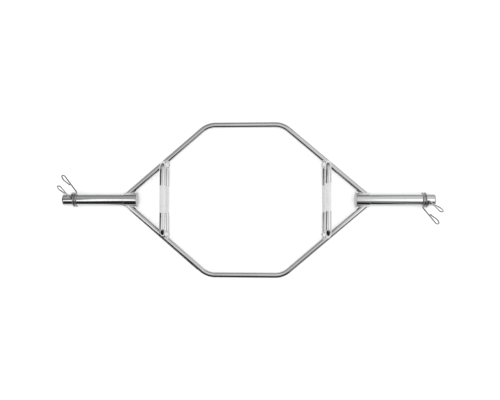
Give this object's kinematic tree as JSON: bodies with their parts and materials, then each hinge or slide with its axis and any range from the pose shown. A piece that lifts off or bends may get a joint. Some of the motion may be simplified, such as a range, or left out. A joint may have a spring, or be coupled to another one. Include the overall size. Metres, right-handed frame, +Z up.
{
  "type": "hex trap bar",
  "caption": "Chromed hex trap bar for deadlifts: welded rod hexagon with low and raised side grips, a load sleeve at each end and removable spring collars.",
  "frame": {"origin": "On the floor under the middle of the bar, which stands on the rims of its hub caps; the sleeves' axis is 31.2 mm above it.", "axes": "+X along the sleeves to the right, +Y to the rear, +Z up to the raised handles."},
  "size_m": [1.5, 0.632, 0.141],
  "materials": {
    "rod_chrome": "bright chrome plate, knurled and satin in the middle of each handle",
    "sleeve_chrome": "bright chrome plate",
    "chromed_weld": "chrome plate over a weld bead",
    "spring_wire_chrome": "plated spring wire"
  },
  "bodies": {
    "frame": {"rear_frame_rod": "rod_chrome", "front_frame_rod": "rod_chrome", "left_hub": "sleeve_chrome", "left_hub_cap": "sleeve_chrome", "left_hub_welds": "chromed_weld", "left_sleeve": "sleeve_chrome", "left_end_plug": "sleeve_chrome", "left_low_handle": "rod_chrome", "left_low_handle_welds": "chromed_weld", "left_raised_handle": "rod_chrome", "left_raised_handle_welds": "chromed_weld", "right_hub": "sleeve_chrome", "right_hub_cap": "sleeve_chrome", "right_hub_welds": "chromed_weld", "right_sleeve": "sleeve_chrome", "right_end_plug": "sleeve_chrome", "right_low_handle": "rod_chrome", "right_low_handle_welds": "chromed_weld", "right_raised_handle": "rod_chrome", "right_raised_handle_welds": "chromed_weld"},
    "left_collar": {"left_collar_coil": "spring_wire_chrome"},
    "left_inner_lever": {"left_collar_inner_lever": "spring_wire_chrome"},
    "left_outer_lever": {"left_collar_outer_lever": "spring_wire_chrome"},
    "right_collar": {"right_collar_coil": "spring_wire_chrome"},
    "right_inner_lever": {"right_collar_inner_lever": "spring_wire_chrome"},
    "right_outer_lever": {"right_collar_outer_lever": "spring_wire_chrome"}
  },
  "joints": [
    {"name": "left_collar_slide", "type": "slide", "parent": "frame", "child": "left_collar", "axis": [-1, 0, 0], "range_m": [-0.191, 0.064]},
    {"name": "left_inner_lever_squeeze", "type": "hinge", "parent": "left_collar", "child": "left_inner_lever", "pos_m": [-0.71, 0, 0.0312], "axis": [1, 0, 0], "range_deg": [0, 6], "stiffness_Nm_per_rad": 12, "deforming": ["left_collar_coil"]},
    {"name": "left_outer_lever_squeeze", "type": "hinge", "parent": "left_collar", "child": "left_outer_lever", "pos_m": [-0.71, 0, 0.0312], "axis": [-1, 0, 0], "range_deg": [0, 6], "stiffness_Nm_per_rad": 12},
    {"name": "right_collar_slide", "type": "slide", "parent": "frame", "child": "right_collar", "axis": [1, 0, 0], "range_m": [-0.2, 0.055]},
    {"name": "right_inner_lever_squeeze", "type": "hinge", "parent": "right_collar", "child": "right_inner_lever", "pos_m": [0.71, 0, 0.0312], "axis": [-1, 0, 0], "range_deg": [0, 6], "stiffness_Nm_per_rad": 12, "deforming": ["right_collar_coil"]},
    {"name": "right_outer_lever_squeeze", "type": "hinge", "parent": "right_collar", "child": "right_outer_lever", "pos_m": [0.71, 0, 0.0312], "axis": [1, 0, 0], "range_deg": [0, 6], "stiffness_Nm_per_rad": 12}
  ],
  "couplings": [
    {"joint": "left_outer_lever_squeeze", "follows": "left_inner_lever_squeeze", "ratio": 1},
    {"joint": "right_outer_lever_squeeze", "follows": "right_inner_lever_squeeze", "ratio": 1}
  ]
}
